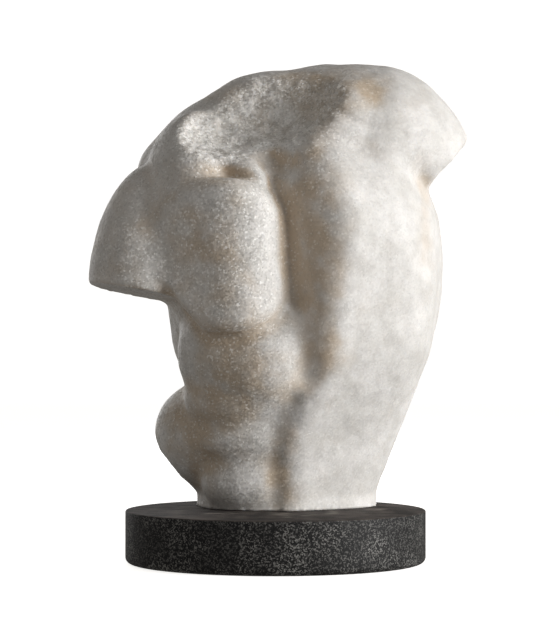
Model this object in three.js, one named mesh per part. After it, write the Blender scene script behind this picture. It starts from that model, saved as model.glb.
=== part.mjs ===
// A fragment of a standing male figure, carved in white marble, on a round plinth of dark stone.
// Millimetres, +Z up. The origin is the centre of the plinth's underside, and the chest faces -Y.
import * as THREE from 'three';

// Driving dimensions
const PLINTH_DIAMETER = 240;
const PLINTH_HEIGHT = 42;
const PLINTH_FOOT_RADIUS = 5; // rounding of the lower rim
const PLINTH_RIM_RADIUS = 1.2; // eased upper rim
const TORSO_HEIGHT = 360; // from the plinth to the top of the broken neck
const SEAT_GAP = 0.3; // bed joint between the plinth and the marble
const TORSO_FACET = 9.6; // side of the marble's facets
const PLINTH_SIDES = 64;
const RIM_STEPS = 3;

// The carving is worked out for a figure of this height, and every size of it scales from there.
const CARVED_HEIGHT = 360;
const CARVING_SCALE = TORSO_HEIGHT / CARVED_HEIGHT;

const MARBLE_COLOUR = '#d9d5cf';
const STONE_COLOUR = '#2b2b2c';

// Field tools: a field is the distance to a surface, negative inside it

const clamp = (x, low, high) => Math.min(high, Math.max(low, x));

const lerp = (a, b, t) => a + (b - a) * t;

function ease(low, high, x) {
  const t = clamp((x - low) / (high - low), 0, 1);
  return t * t * (3 - 2 * t);
}

// Joins two forms with a fillet of about the given width.
function join(a, b, width) {
  const h = clamp(0.5 + (0.5 * (b - a)) / width, 0, 1);
  return lerp(b, a, h) - width * h * (1 - h);
}

// What two forms have in common, with an eased edge.
function meet(a, b, width) {
  return -join(-a, -b, width);
}

// Cuts form b out of form a with an eased edge.
function cut(a, b, width) {
  return meet(a, -b, width);
}

// An ellipsoid about a centre, turned about Z, then Y, then X, in degrees. A power above 2 squares it off.
function muscle([cx, cy, cz], [rx, ry, rz], turn = [0, 0, 0], power = 2) {
  const euler = new THREE.Euler(...turn.map(THREE.MathUtils.degToRad), 'XYZ');
  const m = new THREE.Matrix4().makeRotationFromEuler(euler).elements;
  return (x, y, z) => {
    const dx = x - cx;
    const dy = y - cy;
    const dz = z - cz;
    const u = Math.abs(m[0] * dx + m[1] * dy + m[2] * dz) / rx;
    const v = Math.abs(m[4] * dx + m[5] * dy + m[6] * dz) / ry;
    const w = Math.abs(m[8] * dx + m[9] * dy + m[10] * dz) / rz;
    const near = Math.max((u ** power + v ** power + w ** power) ** (1 / power), 1e-6);
    const rise = near ** (1 - power);
    const steps = [u ** (power - 1) / rx, v ** (power - 1) / ry, w ** (power - 1) / rz];
    return (near - 1) / Math.max(rise * Math.hypot(...steps), 1e-3);
  };
}

// A limb that tapers from one round end to the other.
function limb([ax, ay, az], [bx, by, bz], ra, rb) {
  const lx = bx - ax;
  const ly = by - ay;
  const lz = bz - az;
  const length2 = lx * lx + ly * ly + lz * lz;
  return (x, y, z) => {
    const t = clamp(((x - ax) * lx + (y - ay) * ly + (z - az) * lz) / length2, 0, 1);
    return Math.hypot(x - ax - t * lx, y - ay - t * ly, z - az - t * lz) - lerp(ra, rb, t);
  };
}

// The distance in front of a plane, negative behind it.
function plane([px, py, pz], normal) {
  const [nx, ny, nz] = new THREE.Vector3(...normal).normalize().toArray();
  return (x, y, z) => (x - px) * nx + (y - py) * ny + (z - pz) * nz;
}

// How strongly a stroke along a path in X and Z is felt at a point: 1 on the path, fading over its width.
function stroke(path, width) {
  return (x, z) => {
    let near = Infinity;
    for (let i = 1; i < path.length; i += 1) {
      const [ax, az] = path[i - 1];
      const [bx, bz] = path[i];
      const along = (x - ax) * (bx - ax) + (z - az) * (bz - az);
      const t = clamp(along / ((bx - ax) ** 2 + (bz - az) ** 2), 0, 1);
      near = Math.min(near, Math.hypot(x - lerp(ax, bx, t), z - lerp(az, bz, t)));
    }
    return Math.exp(-((near / width) ** 2));
  };
}

// The trunk: oval sections, each with its height, left, right, front, back and the place of its front crest.
const SECTIONS = [
  [-20, -57, 78, -22, 88, 12],
  [10, -64, 82, -27, 92, 12],
  [35, -74, 91, -34, 93, 13],
  [59, -79, 100, -42, 88, 15],
  [80, -74, 108, -48, 82, 23],
  [104, -71, 117, -54, 79, 36],
  [130, -74, 126, -62, 81, 43],
  [165, -86, 130, -68, 87, 47],
  [200, -90, 132, -72, 91, 54],
  [235, -90, 130, -72, 92, 54],
  [265, -84, 118, -67, 86, 45],
  [295, -70, 100, -48, 78, 39],
  [330, -56, 90, -28, 68, 42],
];
const TRUNK_TOP = 344;
const BACK_POWER = 2.3;
// how far the front bulges in front of the two flats that meet at the crest, and how each flat turns
const FRONT_BULGE = 9;
const TURN_TO_RIGHT = plane([0, 0, 0], [0.53, -0.85, 0]);
const TURN_TO_LEFT = plane([0, 0, 0], [-0.31, -0.95, 0]);

function sectionAt(z) {
  let i = 1;
  while (i < SECTIONS.length - 2 && z > SECTIONS[i + 1][0]) i += 1;
  const [before, from, to] = SECTIONS.slice(i - 1);
  const after = SECTIONS[Math.min(i + 2, SECTIONS.length - 1)];
  const t = clamp((z - from[0]) / (to[0] - from[0]), 0, 1);
  return [1, 2, 3, 4, 5].map((k) => {
    const span = to[0] - from[0];
    const m0 = ((to[k] - before[k]) / (to[0] - before[0])) * span;
    const m1 = ((after[k] - from[k]) / (after[0] - from[0])) * span;
    const t2 = t * t;
    const t3 = t2 * t;
    const ends = (2 * t3 - 3 * t2 + 1) * from[k] + (3 * t2 - 2 * t3) * to[k];
    return ends + (t3 - 2 * t2 + t) * m0 + (t3 - t2) * m1;
  });
}

function trunk(x, y, z) {
  const [left, right, front, back, crest] = sectionAt(z);
  const middle = (front + back) / 2 + 16;
  const a = x > crest ? right - crest : crest - left;
  const b = y < middle ? middle - front + FRONT_BULGE : back - middle;
  const power = y < middle ? 2 : BACK_POWER;
  const u = Math.abs(x - crest) / a;
  const v = Math.abs(y - middle) / b;
  const near = Math.max((u ** power + v ** power) ** (1 / power), 1e-6);
  const rise = near ** (1 - power);
  const slope = Math.max(rise * Math.hypot(u ** (power - 1) / a, v ** (power - 1) / b), 1e-3);
  const side = (near - 1) / slope;
  const flats = meet(TURN_TO_RIGHT(x - crest, y - front, 0), TURN_TO_LEFT(x - crest, y - front, 0), 12);
  return meet(meet(side, flats, 16), z - TRUNK_TOP, 40);
}

// What is added to the trunk, each form with the width of the fillet that joins it.
const ADDED = [
  // shoulder yoke
  [limb([-75, 36, 240], [-64, 36, 262], 44, 47), 12],
  [limb([-64, 36, 262], [-44, 34, 281], 47, 48), 12],
  [limb([-44, 34, 281], [-6, 38, 302], 48, 48), 12],
  [limb([-6, 38, 302], [42, 42, 308], 48, 49), 12],
  [limb([42, 42, 308], [84, 32, 305], 49, 50), 12],
  // back of the armpit
  [muscle([88, 46, 196], [48, 44, 92], [0, -2, 0]), 10],
  [muscle([-54, 50, 188], [32, 40, 88], [0, 6, 0]), 12],
  // shoulder blades, and the cords of muscle beside the spine
  [muscle([-38, 72, 236], [34, 22, 44], [0, 18, 0]), 14],
  [muscle([84, 70, 246], [34, 22, 46], [0, -28, 0]), 14],
  [limb([-10, 60, 60], [-2, 66, 190], 25, 25), 16],
  [limb([48, 60, 60], [52, 66, 190], 25, 25), 16],
  // root of the neck, and the muscle that runs from the chest up to the raised shoulder
  [limb([56, -6, 304], [92, 10, 292], 34, 32), 14],
  [muscle([82, 6, 280], [30, 40, 50], [0, 16, 0]), 16],
  // fold of the chest below the neck
  [limb([-44, -37, 280], [-12, -51, 258], 13, 12), 12],
  // ribs and belly
  [muscle([-12, -12, 122], [48, 50, 50], [0, -6, 0], 2.1), 8],
  [muscle([-40, -10, 124], [38, 43, 42], [0, -6, 0]), 10],
  [muscle([-32, -8, 86], [40, 36, 24]), 12],
  [muscle([-22, -7, 60], [42, 29, 22], [0, -8, 10]), 12],
  [muscle([-16, 0, 26], [44, 29, 26], [0, -8, 14]), 12],
];

const GROOVES = [
  // breastbone and the line down the belly
  [stroke([[2, 262], [8, 240], [10, 200], [18, 166]], 11), 7],
  [stroke([[18, 166], [27, 132], [26, 108]], 10), 2.5],
  [stroke([[14, 86], [2, 66], [-1, 40], [0, 0]], 8), 2],
  // edge of the left half of the chest against the broad muscle of the back
  [stroke([[116, 262], [119, 196]], 7), 3],
  // pit of the neck, and the crease where the neck met the raised shoulder
  [stroke([[-4, 278], [10, 272]], 9), 8],
  [stroke([[47, 317], [60, 308], [72, 302]], 5), 2],
  // fold above the hanging half of the chest
  [stroke([[-96, 262], [-60, 267], [-30, 264], [-6, 258]], 8), 2.5],
];
const BACK_GROOVES = [
  // spine
  [stroke([[14, 290], [20, 240], [24, 180], [24, 120], [20, 60], [18, 0]], 14), 5],
  // lower edges of the shoulder blades
  [stroke([[-76, 214], [-44, 186], [-10, 196]], 12), 3],
  [stroke([[120, 222], [90, 194], [54, 204]], 12), 3],
];

// right half of the chest, hanging forward over the ribs, with the armpit sliced off
const chestOutline = muscle([-42, 0, 202], [63, 400, 62], [0, 0, 0], 2.4);
const chestToRight = plane([-31, -80, 190], [0.44, -0.9, -0.04]);
const chestToLeft = plane([-31, -80, 190], [-0.38, -0.92, -0.08]);
const CHEST_DEPTH = 30; // it ends inside the body

function hangingChest(x, y, z) {
  const flats = meet(chestToRight(x, y, z), chestToLeft(x, y, z), 16);
  return Math.max(meet(chestOutline(x, y, z), flats, 16), y - CHEST_DEPTH);
}

const armpitSlice = plane([-81, -60, 172], [0.766, -0.1, 0.643]);

const hip = muscle([-58, 34, 58], [40, 50, 43]);
const hipBreak = plane([-97.5, 0, 51], [0.78, 0, 0.626]);
const loweredShoulder = muscle([-62, -3, 256], [42, 60, 62]);
const loweredArm = muscle([-105, -8, 186], [43, 50, 90], [0, 7, 0], 2.1);
const armCut = plane([-105, 0, 171], [0.19, 0.06, 0.98]);
const raisedShoulder = muscle([93, 26, 299], [70, 49, 49], [0, 30, 4]);
const shoulderCut = plane([161, 10, 301], [-0.717, -0.1, 0.697]);

// the neck is broken out in a deep bowl and a wide shallow one
const neckScoop = muscle([0, -72, 344], [100, 76, 56], [0, -32, 0]);
const neckHollow = muscle([-20, -118, 374], [102, 128, 100]);

// how much wider the fillets between the big forms are behind than in front
const SOFTER_BEHIND = 16;

function carved(x, y, z) {
  const soft = SOFTER_BEHIND * ease(35, 80, y);
  let d = trunk(x, y, z);
  for (const [form, width] of ADDED) d = join(d, form(x, y, z), width);
  d = join(d, cut(hip(x, y, z), hipBreak(x, y, z), 6), 6 + soft);
  d = join(d, cut(hangingChest(x, y, z), armpitSlice(x, y, z), 4), 6);
  d = join(d, loweredShoulder(x, y, z), 6 + soft);
  d = join(d, cut(raisedShoulder(x, y, z), shoulderCut(x, y, z), 3), 14 + soft);
  const front = 1 - ease(-10, 30, y);
  for (const [felt, depth] of GROOVES) d += depth * felt(x, z) * front;
  const rear = ease(40, 70, y);
  for (const [felt, depth] of BACK_GROOVES) d += depth * felt(x, z) * rear;
  d = join(d, cut(loweredArm(x, y, z), armCut(x, y, z), 4), 6 + soft);
  return cut(d, join(neckScoop(x, y, z), neckHollow(x, y, z), 12), 8);
}

// Seat: the marble ends in a flat bed on the plinth
const bedded = (x, y, z) => Math.max(carved(x, y, z), -z);

// Facets: one point for each grid cell that the surface passes through, set by least squares where the
// tangent planes of the crossings meet, so that broken edges stay crisp. The four cells round an edge make a
// quad.
const GRID_FROM = [-168, -108];
const GRID_TO = [176, 124, 378];
const LAYERS_BELOW_BED = 1.5; // so that the bed runs through the middle of a layer of cells
const PROBE = 0.05;
const HOLD = 0.06; // pull towards the middle of the crossings, where their planes don't fix a point
const STRAY = 0.25; // share of a cell that a point may stray outside it
const SLIGHT = 0.01; // value of a grid point that changes sides
const SNAP = 0.3; // a point this near the bed lies on it

function slopeAt(field, x, y, z) {
  const dx = field(x + PROBE, y, z) - field(x - PROBE, y, z);
  const dy = field(x, y + PROBE, z) - field(x, y - PROBE, z);
  const dz = field(x, y, z + PROBE) - field(x, y, z - PROBE);
  return new THREE.Vector3(dx, dy, dz).normalize();
}

// Where the field is zero between two points, by false position.
function crossing(field, p, q, dp, dq) {
  let [low, high, dLow, dHigh] = [0, 1, dp, dq];
  const at = new THREE.Vector3();
  for (let i = 0; i < 6; i += 1) {
    const t = low + ((high - low) * dLow) / (dLow - dHigh);
    at.lerpVectors(p, q, t);
    const d = field(at.x, at.y, at.z);
    if (d < 0 === dp < 0) {
      low = t;
      dLow = d;
    } else {
      high = t;
      dHigh = d;
    }
    if (Math.abs(d) < 0.002) break;
  }
  return at;
}

function meetingPoint(crossings, normals) {
  const middle = new THREE.Vector3();
  for (const point of crossings) middle.addScaledVector(point, 1 / crossings.length);
  const m = [HOLD, 0, 0, 0, HOLD, 0, 0, 0, HOLD];
  const right = new THREE.Vector3();
  crossings.forEach((point, i) => {
    const n = normals[i].toArray();
    for (let k = 0; k < 9; k += 1) m[k] += n[Math.floor(k / 3)] * n[k % 3];
    right.addScaledVector(normals[i], normals[i].dot(point.clone().sub(middle)));
  });
  return right.applyMatrix3(new THREE.Matrix3(...m).invert()).add(middle);
}

// Where two solid corners of a grid square face each other across two empty ones, facets would meet along
// one edge in fours, so the corner nearest the surface changes sides.
function settle(values, [nx, ny, nz], node) {
  const squares = [[[1, 0, 0], [0, 1, 0]], [[0, 1, 0], [0, 0, 1]], [[0, 0, 1], [1, 0, 0]]];
  let changed = true;
  while (changed) {
    changed = false;
    for (let k = 0; k < nz - 1; k += 1) {
      for (let j = 0; j < ny - 1; j += 1) {
        for (let i = 0; i < nx - 1; i += 1) {
          for (const [u, v] of squares) {
            const a = node(i, j, k);
            const b = node(i + u[0], j + u[1], k + u[2]);
            const c = node(i + u[0] + v[0], j + u[1] + v[1], k + u[2] + v[2]);
            const d = node(i + v[0], j + v[1], k + v[2]);
            const [fa, fb, fc, fd] = [a, b, c, d].map((n) => values[n] < 0);
            if (fa === fc && fb === fd && fa !== fb) {
              const weakest = [a, b, c, d].sort((p, q) => Math.abs(values[p]) - Math.abs(values[q]))[0];
              values[weakest] = values[weakest] < 0 ? SLIGHT : -SLIGHT;
              changed = true;
            }
          }
        }
      }
    }
  }
}

function facet(field, size) {
  const start = new THREE.Vector3(...GRID_FROM, -LAYERS_BELOW_BED * size);
  const counts = GRID_TO.map((to, k) => Math.ceil((to - start.getComponent(k)) / size) + 1);
  const [nx, ny, nz] = counts;
  const node = (i, j, k) => (k * ny + j) * nx + i;
  const place = (i, j, k) => new THREE.Vector3(i, j, k).multiplyScalar(size).add(start);
  const values = new Float64Array(nx * ny * nz);
  for (let k = 0; k < nz; k += 1) {
    for (let j = 0; j < ny; j += 1) {
      for (let i = 0; i < nx; i += 1) values[node(i, j, k)] = field(...place(i, j, k).toArray());
    }
  }
  settle(values, counts, node);
  const cells = new Map();
  const quads = [];
  const STEPS = [[1, 0, 0], [0, 1, 0], [0, 0, 1]];
  for (let k = 1; k < nz - 1; k += 1) {
    for (let j = 1; j < ny - 1; j += 1) {
      for (let i = 1; i < nx - 1; i += 1) {
        const here = values[node(i, j, k)];
        STEPS.forEach(([si, sj, sk], axis) => {
          const there = values[node(i + si, j + sj, k + sk)];
          if (here < 0 === there < 0) return;
          const point = crossing(field, place(i, j, k), place(i + si, j + sj, k + sk), here, there);
          const normal = slopeAt(field, ...point.toArray());
          const u = STEPS[(axis + 1) % 3];
          const v = STEPS[(axis + 2) % 3];
          const around = [[0, 0], [1, 0], [1, 1], [0, 1]].map(([a, b]) =>
            node(i - a * u[0] - b * v[0], j - a * u[1] - b * v[1], k - a * u[2] - b * v[2]));
          for (const cell of around) {
            if (!cells.has(cell)) cells.set(cell, { crossings: [], normals: [] });
            cells.get(cell).crossings.push(point);
            cells.get(cell).normals.push(normal);
          }
          quads.push(here < 0 ? around : around.reverse());
        });
      }
    }
  }
  const index = new Map();
  const points = [];
  const position = [];
  for (const [cell, { crossings, normals }] of cells) {
    const corner = place(cell % nx, Math.floor(cell / nx) % ny, Math.floor(cell / (nx * ny)));
    const point = meetingPoint(crossings, normals);
    point.clamp(corner.clone().addScalar(-STRAY * size), corner.clone().addScalar((1 + STRAY) * size));
    if (Math.abs(point.z) < SNAP) point.z = 0;
    index.set(cell, points.length);
    points.push(point);
    position.push(point.x, point.y, point.z);
  }
  // each quad is split along the diagonal whose middle lies nearer the surface
  const miss = (a, b) => {
    const middle = points[a].clone().lerp(points[b], 0.5);
    return Math.abs(field(middle.x, middle.y, middle.z));
  };
  const faces = [];
  for (const quad of quads) {
    const [a, b, c, d] = quad.map((cell) => index.get(cell));
    if (miss(a, c) < miss(b, d)) faces.push(a, b, c, a, c, d);
    else faces.push(a, b, d, b, c, d);
  }
  return new THREE.BufferGeometry()
    .setAttribute('position', new THREE.Float32BufferAttribute(position, 3))
    .setIndex(faces);
}

function torsoGeometry() {
  return facet(bedded, TORSO_FACET / CARVING_SCALE).scale(CARVING_SCALE, CARVING_SCALE, CARVING_SCALE);
}

// The plinth is a turned disc with a rounded foot and an eased upper rim.
function plinthGeometry() {
  const radius = PLINTH_DIAMETER / 2;
  const profile = [new THREE.Vector2(0, 0)];
  const round = (cx, cz, r, from, to) => {
    for (let i = 0; i <= RIM_STEPS; i += 1) {
      const angle = lerp(from, to, i / RIM_STEPS);
      profile.push(new THREE.Vector2(cx + r * Math.cos(angle), cz + r * Math.sin(angle)));
    }
  };
  round(radius - PLINTH_FOOT_RADIUS, PLINTH_FOOT_RADIUS, PLINTH_FOOT_RADIUS, -Math.PI / 2, 0);
  round(radius - PLINTH_RIM_RADIUS, PLINTH_HEIGHT - PLINTH_RIM_RADIUS, PLINTH_RIM_RADIUS, 0, Math.PI / 2);
  profile.push(new THREE.Vector2(0, PLINTH_HEIGHT));
  return new THREE.LatheGeometry(profile, PLINTH_SIDES).rotateX(Math.PI / 2);
}

function piece(name, geometry, colour, roughness) {
  const material = new THREE.MeshStandardMaterial({ color: colour, roughness, metalness: 0 });
  const mesh = new THREE.Mesh(geometry, material);
  mesh.name = name;
  return mesh;
}

const fragment = new THREE.Group();
const torso = piece('torso', torsoGeometry(), MARBLE_COLOUR, 0.75);
torso.position.z = PLINTH_HEIGHT + SEAT_GAP;
fragment.add(torso);
fragment.add(piece('plinth', plinthGeometry(), STONE_COLOUR, 0.5));

export default fragment;
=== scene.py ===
"""A weathered marble torso fragment on a dark turned stone plinth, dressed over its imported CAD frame.

The marble is worked out as a field: a function of place whose value is the distance in millimetres to the
carved surface, negative inside the stone. A fine mesh is laid on the surface where the field is zero, and is
then roughened where the stone is broken. Sizes of the carving are in millimetres, with zero height at the bed
of the marble on the plinth. Everything that Blender is given is in metres.
"""

import math

import bpy
import numpy as np
from mathutils import Euler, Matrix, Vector


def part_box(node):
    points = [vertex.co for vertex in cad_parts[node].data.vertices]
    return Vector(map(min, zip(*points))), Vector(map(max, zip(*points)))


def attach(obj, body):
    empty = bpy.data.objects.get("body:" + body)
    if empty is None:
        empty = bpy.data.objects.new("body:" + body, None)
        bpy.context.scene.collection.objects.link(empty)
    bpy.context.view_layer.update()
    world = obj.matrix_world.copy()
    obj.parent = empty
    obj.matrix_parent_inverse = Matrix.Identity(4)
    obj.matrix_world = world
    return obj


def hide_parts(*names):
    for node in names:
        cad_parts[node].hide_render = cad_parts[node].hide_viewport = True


bl_info = {
    "name": "Marble torso fragment",
    "version": (1, 0, 0),
    "blender": (4, 5, 0),
    "location": "3D View > Sidebar > Torso fragment",
    "description": "Builds a weathered marble torso fragment on a dark stone plinth",
    "category": "Add Mesh",
}

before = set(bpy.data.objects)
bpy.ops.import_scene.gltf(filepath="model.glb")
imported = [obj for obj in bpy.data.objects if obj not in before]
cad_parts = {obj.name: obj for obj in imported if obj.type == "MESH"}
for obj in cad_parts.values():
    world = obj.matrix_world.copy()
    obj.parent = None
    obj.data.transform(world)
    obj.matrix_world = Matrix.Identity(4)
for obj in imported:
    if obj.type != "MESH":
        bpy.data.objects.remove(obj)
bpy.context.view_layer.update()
TORSO_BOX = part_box("torso")
PLINTH_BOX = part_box("plinth")

MM = 0.001


# Field tools: each takes points as rows of X, Y and Z, and gives one distance for each row


def ease(low, high, x):
    """0 below low, 1 above high, and 3t^2 - 2t^3 of the share of the way in between."""
    t = np.clip((x - low) / (high - low), 0, 1)
    return t * t * (3 - 2 * t)


def join(a, b, width):
    """The lower of two distances, less width * h * (1 - h) near where they are equal, which makes a fillet.

    h is half plus half the difference over the width, held between 0 and 1.
    """
    h = np.clip(0.5 + 0.5 * (b - a) / width, 0, 1)
    return b + (a - b) * h - width * h * (1 - h)


def meet(a, b, width):
    """What two forms have in common, with an eased edge: the join of their outsides, turned inside out."""
    return -join(-a, -b, width)


def cut(a, b, width):
    """Form a where it lies outside form b, with an eased edge."""
    return meet(a, -b, width)


def muscle(centre, radii, turn=(0, 0, 0), power=2):
    """An ellipsoid turned about Z, then Y, then X, in degrees.

    The distance is (|u|^p + |v|^p + |w|^p)^(1/p) - 1, divided by how fast that rises. u, v and w are the
    point's coordinates along the turned axes, each divided by its radius.
    """
    axes = np.array(Euler([math.radians(x) for x in turn], "ZYX").to_matrix(), np.float32)
    middle, reach = np.array(centre, np.float32), np.array(radii, np.float32)

    def distance(p):
        scaled = np.abs((p - middle) @ axes) / reach
        if power == 2:
            near = np.maximum(np.sqrt((scaled**2).sum(1)), 1e-6)
            return (near - 1) * near / np.maximum(np.sqrt(((scaled / reach) ** 2).sum(1)), 1e-3 * near)
        near = np.maximum((scaled**power).sum(1) ** (1 / power), 1e-6)
        steps = np.sqrt(((scaled ** (power - 1) / reach) ** 2).sum(1))
        return (near - 1) / np.maximum(near ** (1 - power) * steps, 1e-3)

    return distance


def limb(start, end, start_radius, end_radius):
    """The distance to the line from start to end, less a radius that changes evenly along it."""
    a, along = np.array(start, np.float32), np.array(end, np.float32) - np.array(start, np.float32)

    def distance(p):
        t = np.clip(((p - a) @ along) / (along @ along), 0, 1)
        away = p - a - t[:, None] * along
        return np.sqrt((away**2).sum(1)) - (start_radius + (end_radius - start_radius) * t)

    return distance


def plane(point, normal):
    """The distance in front of a plane, negative behind it."""
    n = np.array(normal, np.float32)
    n = n / np.sqrt((n**2).sum())
    offset = float(np.array(point, np.float32) @ n)
    return lambda p: p @ n - offset


def stroke(path, width):
    """How strongly a stroke is felt: e to the power of minus (distance to its path over its width) squared.

    The path runs in X and Z, and the distance leaves Y out.
    """

    def felt(p):
        near = np.full(len(p), 1e9, np.float32)
        for (ax, az), (bx, bz) in zip(path[:-1], path[1:]):
            lx, lz = bx - ax, bz - az
            dx, dz = p[:, 0] - ax, p[:, 2] - az
            t = np.clip((dx * lx + dz * lz) / (lx * lx + lz * lz), 0, 1)
            near = np.minimum(near, (dx - t * lx) ** 2 + (dz - t * lz) ** 2)
        return np.exp(-near / width**2)

    return felt


# The trunk: oval sections, each with its height, left, right, front, back and the place of its front crest
SECTIONS = np.array(
    [
        [-20, -57, 78, -22, 88, 12],
        [10, -64, 82, -27, 92, 12],
        [35, -74, 91, -34, 93, 13],
        [59, -79, 100, -42, 88, 15],
        [80, -74, 108, -48, 82, 23],
        [104, -71, 117, -54, 79, 36],
        [130, -74, 126, -62, 81, 43],
        [165, -86, 130, -68, 87, 47],
        [200, -90, 132, -72, 91, 54],
        [235, -90, 130, -72, 92, 54],
        [265, -84, 118, -67, 86, 45],
        [295, -70, 100, -48, 78, 39],
        [330, -56, 90, -28, 68, 42],
    ],
    np.float32,
)
TRUNK_TOP, TOP_ROUNDING = 344, 40
BACK_POWER = 2.3  # how squared the oval is behind, where 2 would be a plain one
FRONT_BULGE = 9  # how far the front of the oval lies before the flats that cut it
WIDEST_BEHIND = 16  # how far behind the middle the body is widest
CREST_ROUNDING, FLANK_ROUNDING = 12, 16  # of the edge between the flats, and of theirs with the oval
TURN_TO_RIGHT = plane((0, 0, 0), (0.53, -0.85, 0))
TURN_TO_LEFT = plane((0, 0, 0), (-0.31, -0.95, 0))


def sections_at(z):
    """The five sizes of the section at each height, by cubic curves through the sections."""
    heights = SECTIONS[:, 0]
    i = np.clip(np.searchsorted(heights, z, side="left") - 1, 1, len(SECTIONS) - 2)
    before, start, end = SECTIONS[i - 1], SECTIONS[i], SECTIONS[i + 1]
    after = SECTIONS[np.minimum(i + 2, len(SECTIONS) - 1)]
    span = end[:, :1] - start[:, :1]
    t = np.clip((z[:, None] - start[:, :1]) / span, 0, 1)
    m0 = (end[:, 1:] - before[:, 1:]) / (end[:, :1] - before[:, :1]) * span
    m1 = (after[:, 1:] - start[:, 1:]) / (after[:, :1] - start[:, :1]) * span
    ends = (2 * t**3 - 3 * t**2 + 1) * start[:, 1:] + (3 * t**2 - 2 * t**3) * end[:, 1:]
    return (ends + (t**3 - 2 * t**2 + t) * m0 + (t**3 - t**2) * m1).T


def trunk(p):
    """A squared oval at each height, cut in front by two flats that meet at the crest, and closed on top."""
    x, y, z = p.T
    left, right, front, back, crest = sections_at(z)
    middle = (front + back) / 2 + WIDEST_BEHIND
    a = np.where(x > crest, right - crest, crest - left)
    ahead = y < middle
    b = np.where(ahead, middle - front + FRONT_BULGE, back - middle)
    power = np.where(ahead, 2, BACK_POWER).astype(np.float32)
    u, v = np.abs(x - crest) / a, np.abs(y - middle) / b
    near = np.maximum((u**power + v**power) ** (1 / power), 1e-6)
    steps = np.hypot(u ** (power - 1) / a, v ** (power - 1) / b)
    side = (near - 1) / np.maximum(near ** (1 - power) * steps, 1e-3)
    from_crest = np.stack([x - crest, y - front, np.zeros_like(x)], 1)
    flats = meet(TURN_TO_RIGHT(from_crest), TURN_TO_LEFT(from_crest), CREST_ROUNDING)
    return meet(meet(side, flats, FLANK_ROUNDING), z - TRUNK_TOP, TOP_ROUNDING)


# What is added to the trunk, each form with the width of the fillet that joins it
ADDED = (
    # shoulder yoke
    (limb((-75, 36, 240), (-64, 36, 262), 44, 47), 12),
    (limb((-64, 36, 262), (-44, 34, 281), 47, 48), 12),
    (limb((-44, 34, 281), (-6, 38, 302), 48, 48), 12),
    (limb((-6, 38, 302), (42, 42, 308), 48, 49), 12),
    (limb((42, 42, 308), (84, 32, 305), 49, 50), 12),
    # back of the armpit
    (muscle((88, 46, 196), (48, 44, 92), (0, -2, 0)), 10),
    (muscle((-54, 50, 188), (32, 40, 88), (0, 6, 0)), 12),
    # shoulder blades, and the cords of muscle beside the spine
    (muscle((-38, 72, 236), (34, 22, 44), (0, 18, 0)), 14),
    (muscle((84, 70, 246), (34, 22, 46), (0, -28, 0)), 14),
    (limb((-10, 60, 60), (-2, 66, 190), 25, 25), 16),
    (limb((48, 60, 60), (52, 66, 190), 25, 25), 16),
    # root of the neck, and the muscle that runs from the chest up to the raised shoulder
    (limb((56, -6, 304), (92, 10, 292), 34, 32), 14),
    (muscle((82, 6, 280), (30, 40, 50), (0, 16, 0)), 16),
    # fold of the chest below the neck
    (limb((-44, -37, 280), (-12, -51, 258), 13, 12), 12),
    # ribs and belly
    (muscle((-12, -12, 122), (48, 50, 50), (0, -6, 0), 2.1), 8),
    (muscle((-40, -10, 124), (38, 43, 42), (0, -6, 0)), 10),
    (muscle((-32, -8, 86), (40, 36, 24)), 12),
    (muscle((-22, -7, 60), (42, 29, 22), (0, -8, 10)), 12),
    (muscle((-16, 0, 26), (44, 29, 26), (0, -8, 14)), 12),
)

# Grooves of the front and of the back, each with its depth
GROOVES = (
    # breastbone and the line down the belly
    (stroke(((2, 262), (8, 240), (10, 200), (18, 166)), 11), 7),
    (stroke(((18, 166), (27, 132), (26, 108)), 10), 2.5),
    (stroke(((14, 86), (2, 66), (-1, 40), (0, 0)), 8), 2),
    # edge of the left half of the chest against the broad muscle of the back
    (stroke(((116, 262), (119, 196)), 7), 3),
    # pit of the neck, and the crease where the neck met the raised shoulder
    (stroke(((-4, 278), (10, 272)), 9), 8),
    (stroke(((47, 317), (60, 308), (80, 301), (100, 299)), 4), 1.3),
    # fold above the hanging half of the chest
    (stroke(((-96, 262), (-60, 267), (-30, 264), (-6, 258)), 8), 2.5),
)
BACK_GROOVES = (
    # spine
    (stroke(((14, 290), (20, 240), (24, 180), (24, 120), (20, 60), (18, 0)), 14), 5),
    # lower edges of the shoulder blades
    (stroke(((-76, 214), (-44, 186), (-10, 196)), 12), 3),
    (stroke(((120, 222), (90, 194), (54, 204)), 12), 3),
)

CHEST_OUTLINE = muscle((-42, 0, 202), (63, 400, 62), (0, 0, 0), 2.4)
CHEST_TO_RIGHT = plane((-31, -80, 190), (0.44, -0.9, -0.04))
CHEST_TO_LEFT = plane((-31, -80, 190), (-0.38, -0.92, -0.08))
CHEST_ROUNDING = 16
CHEST_DEPTH = 30  # how far behind the body's middle plane the form ends


def hanging_chest(p):
    """The chest's right half: a squared outline, cut in front by two flats, and ended inside the body."""
    flats = meet(CHEST_TO_RIGHT(p), CHEST_TO_LEFT(p), CHEST_ROUNDING)
    return np.maximum(meet(CHEST_OUTLINE(p), flats, CHEST_ROUNDING), p[:, 1] - CHEST_DEPTH)


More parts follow.
